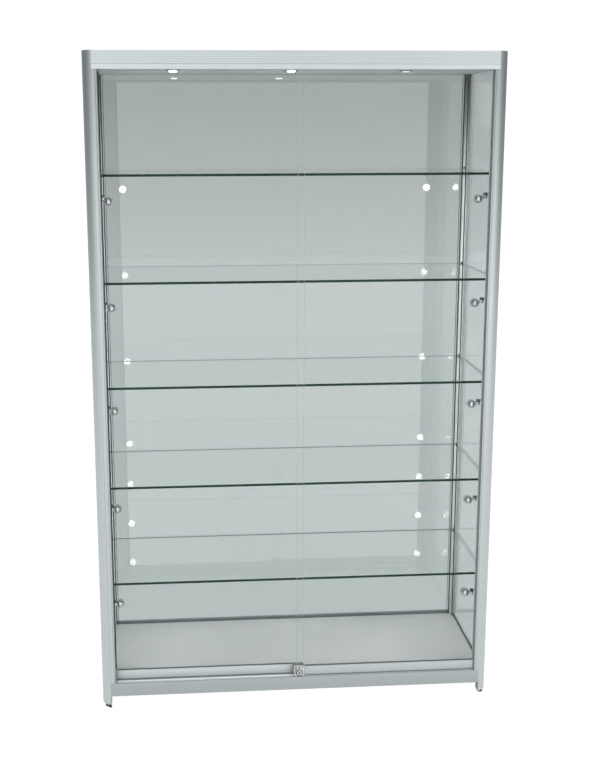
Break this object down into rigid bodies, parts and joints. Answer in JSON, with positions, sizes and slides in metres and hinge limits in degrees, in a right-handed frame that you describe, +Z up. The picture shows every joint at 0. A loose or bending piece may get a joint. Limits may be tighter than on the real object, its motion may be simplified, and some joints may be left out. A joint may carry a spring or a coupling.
{
  "type": "glass display showcase",
  "caption": "Tall free-standing glass showcase with an aluminium frame, sliding glass doors, push lock, glass shelves, swivelling spotlights and levelling feet.",
  "frame": {"origin": "middle of the footprint, on the ground under the feet", "axes": "+Z up, the longest side; -Y is the front, where the doors are, and the depth along Y is the shortest side; +X is the viewer's right"},
  "size_m": [1.2, 0.45, 1.96],
  "materials": {
    "aluminium_frame": "satin silver anodised",
    "door_metal": "satin silver anodised",
    "pale_board": "pale grey laminate",
    "case_glass": "clear float glass",
    "back_glass": "lightly tinted float glass",
    "shelf_glass": "clear float glass with polished green edges",
    "door_glass": "clear float glass",
    "white_plastic": "moulded",
    "black_plastic": "moulded",
    "lock_chrome": "polished chrome",
    "light_chrome": "polished chrome"
  },
  "bodies": {
    "case": {"post_front_left": "aluminium_frame", "post_front_right": "aluminium_frame", "post_back_left": "aluminium_frame", "post_back_right": "aluminium_frame", "door_jamb_left": "aluminium_frame", "door_jamb_right": "aluminium_frame", "header_front": "aluminium_frame", "header_left": "aluminium_frame", "header_right": "aluminium_frame", "header_back": "aluminium_frame", "base_rail_front": "aluminium_frame", "base_rail_left": "aluminium_frame", "base_rail_right": "aluminium_frame", "base_rail_back": "aluminium_frame", "top_guide": "door_metal", "bottom_track": "door_metal", "floor_deck": "pale_board", "ceiling_panel": "pale_board", "top_cover": "pale_board", "side_glass_left": "case_glass", "side_glass_right": "case_glass", "back_glass": "back_glass", "shelf_1": "shelf_glass", "shelf_2": "shelf_glass", "shelf_3": "shelf_glass", "shelf_4": "shelf_glass", "shelf_5": "shelf_glass", "light_rail_left": "light_chrome", "light_rail_right": "light_chrome", "downlight_1": "light_chrome", "downlight_2": "light_chrome", "downlight_3": "light_chrome", "led_driver": "white_plastic", "cable_gland": "black_plastic"},
    "door_left": {"door_glass_left": "door_glass", "door_rail_left": "door_metal"},
    "door_right": {"door_glass_right": "door_glass", "door_rail_right": "door_metal", "lock_body": "lock_chrome"},
    "roller_left_1": {"roller_left_1": "white_plastic"},
    "roller_left_2": {"roller_left_2": "white_plastic"},
    "roller_right_1": {"roller_right_1": "white_plastic"},
    "roller_right_2": {"roller_right_2": "white_plastic"},
    "lock_barrel": {"lock_barrel": "lock_chrome"},
    "key_plug": {"key_plug": "lock_chrome"},
    "spot_left_1": {"spot_head_left_1": "light_chrome"},
    "spot_left_2": {"spot_head_left_2": "light_chrome"},
    "spot_left_3": {"spot_head_left_3": "light_chrome"},
    "spot_left_4": {"spot_head_left_4": "light_chrome"},
    "spot_left_5": {"spot_head_left_5": "light_chrome"},
    "spot_right_1": {"spot_head_right_1": "light_chrome"},
    "spot_right_2": {"spot_head_right_2": "light_chrome"},
    "spot_right_3": {"spot_head_right_3": "light_chrome"},
    "spot_right_4": {"spot_head_right_4": "light_chrome"},
    "spot_right_5": {"spot_head_right_5": "light_chrome"},
    "foot_front_left": {"foot_front_left": "black_plastic"},
    "foot_front_right": {"foot_front_right": "black_plastic"},
    "foot_back_left": {"foot_back_left": "black_plastic"},
    "foot_back_right": {"foot_back_right": "black_plastic"}
  },
  "joints": [
    {"name": "door_left_slide", "type": "slide", "parent": "case", "child": "door_left", "axis": [1, 0, 0], "range_m": [0, 0.53]},
    {"name": "door_right_slide", "type": "slide", "parent": "case", "child": "door_right", "axis": [-1, 0, 0], "range_m": [0, 0.53]},
    {"name": "roller_left_1_spin", "type": "hinge", "parent": "door_left", "child": "roller_left_1", "pos_m": [-0.495, -0.1974, 0.0893], "axis": [0, 1, 0], "range_deg": [0, 5100]},
    {"name": "roller_left_2_spin", "type": "hinge", "parent": "door_left", "child": "roller_left_2", "pos_m": [-0.038, -0.1974, 0.0893], "axis": [0, 1, 0], "range_deg": [0, 5100]},
    {"name": "roller_right_1_spin", "type": "hinge", "parent": "door_right", "child": "roller_right_1", "pos_m": [0.084, -0.2131, 0.0893], "axis": [0, -1, 0], "range_deg": [0, 5100]},
    {"name": "roller_right_2_spin", "type": "hinge", "parent": "door_right", "child": "roller_right_2", "pos_m": [0.495, -0.2131, 0.0893], "axis": [0, -1, 0], "range_deg": [0, 5100]},
    {"name": "lock_push", "type": "slide", "parent": "door_right", "child": "lock_barrel", "axis": [0, 1, 0], "range_m": [0, 0.0065]},
    {"name": "key_turn", "type": "hinge", "parent": "lock_barrel", "child": "key_plug", "pos_m": [0.009, -0.225, 0.093], "axis": [0, 1, 0], "range_deg": [0, 90]},
    {"name": "spot_left_1_pan", "type": "hinge", "parent": "case", "child": "spot_left_1", "pos_m": [-0.556, -0.169, 1.555], "axis": [0, 0, 1], "range_deg": [-50, 50]},
    {"name": "spot_left_2_pan", "type": "hinge", "parent": "case", "child": "spot_left_2", "pos_m": [-0.556, -0.169, 1.245], "axis": [0, 0, 1], "range_deg": [-50, 50]},
    {"name": "spot_left_3_pan", "type": "hinge", "parent": "case", "child": "spot_left_3", "pos_m": [-0.556, -0.169, 0.933], "axis": [0, 0, 1], "range_deg": [-50, 50]},
    {"name": "spot_left_4_pan", "type": "hinge", "parent": "case", "child": "spot_left_4", "pos_m": [-0.556, -0.169, 0.626], "axis": [0, 0, 1], "range_deg": [-50, 50]},
    {"name": "spot_left_5_pan", "type": "hinge", "parent": "case", "child": "spot_left_5", "pos_m": [-0.556, -0.169, 0.32], "axis": [0, 0, 1], "range_deg": [-50, 50]},
    {"name": "spot_right_1_pan", "type": "hinge", "parent": "case", "child": "spot_right_1", "pos_m": [0.556, -0.169, 1.555], "axis": [0, 0, 1], "range_deg": [-50, 50]},
    {"name": "spot_right_2_pan", "type": "hinge", "parent": "case", "child": "spot_right_2", "pos_m": [0.556, -0.169, 1.245], "axis": [0, 0, 1], "range_deg": [-50, 50]},
    {"name": "spot_right_3_pan", "type": "hinge", "parent": "case", "child": "spot_right_3", "pos_m": [0.556, -0.169, 0.933], "axis": [0, 0, 1], "range_deg": [-50, 50]},
    {"name": "spot_right_4_pan", "type": "hinge", "parent": "case", "child": "spot_right_4", "pos_m": [0.556, -0.169, 0.626], "axis": [0, 0, 1], "range_deg": [-50, 50]},
    {"name": "spot_right_5_pan", "type": "hinge", "parent": "case", "child": "spot_right_5", "pos_m": [0.556, -0.169, 0.32], "axis": [0, 0, 1], "range_deg": [-50, 50]},
    {"name": "foot_front_left_turn", "type": "hinge", "parent": "case", "child": "foot_front_left", "pos_m": [-0.5825, -0.2075, 0], "axis": [0, 0, 1], "range_deg": [0, 5760]},
    {"name": "foot_front_right_turn", "type": "hinge", "parent": "case", "child": "foot_front_right", "pos_m": [0.5825, -0.2075, 0], "axis": [0, 0, 1], "range_deg": [0, 5760]},
    {"name": "foot_back_left_turn", "type": "hinge", "parent": "case", "child": "foot_back_left", "pos_m": [-0.5925, 0.216, 0], "axis": [0, 0, 1], "range_deg": [0, 5760]},
    {"name": "foot_back_right_turn", "type": "hinge", "parent": "case", "child": "foot_back_right", "pos_m": [0.5925, 0.216, 0], "axis": [0, 0, 1], "range_deg": [0, 5760]}
  ],
  "couplings": [
    {"joint": "roller_left_1_spin", "follows": "door_left_slide", "rad_per_m": 166.67},
    {"joint": "roller_left_2_spin", "follows": "door_left_slide", "rad_per_m": 166.67},
    {"joint": "roller_right_1_spin", "follows": "door_right_slide", "rad_per_m": 166.67},
    {"joint": "roller_right_2_spin", "follows": "door_right_slide", "rad_per_m": 166.67}
  ]
}
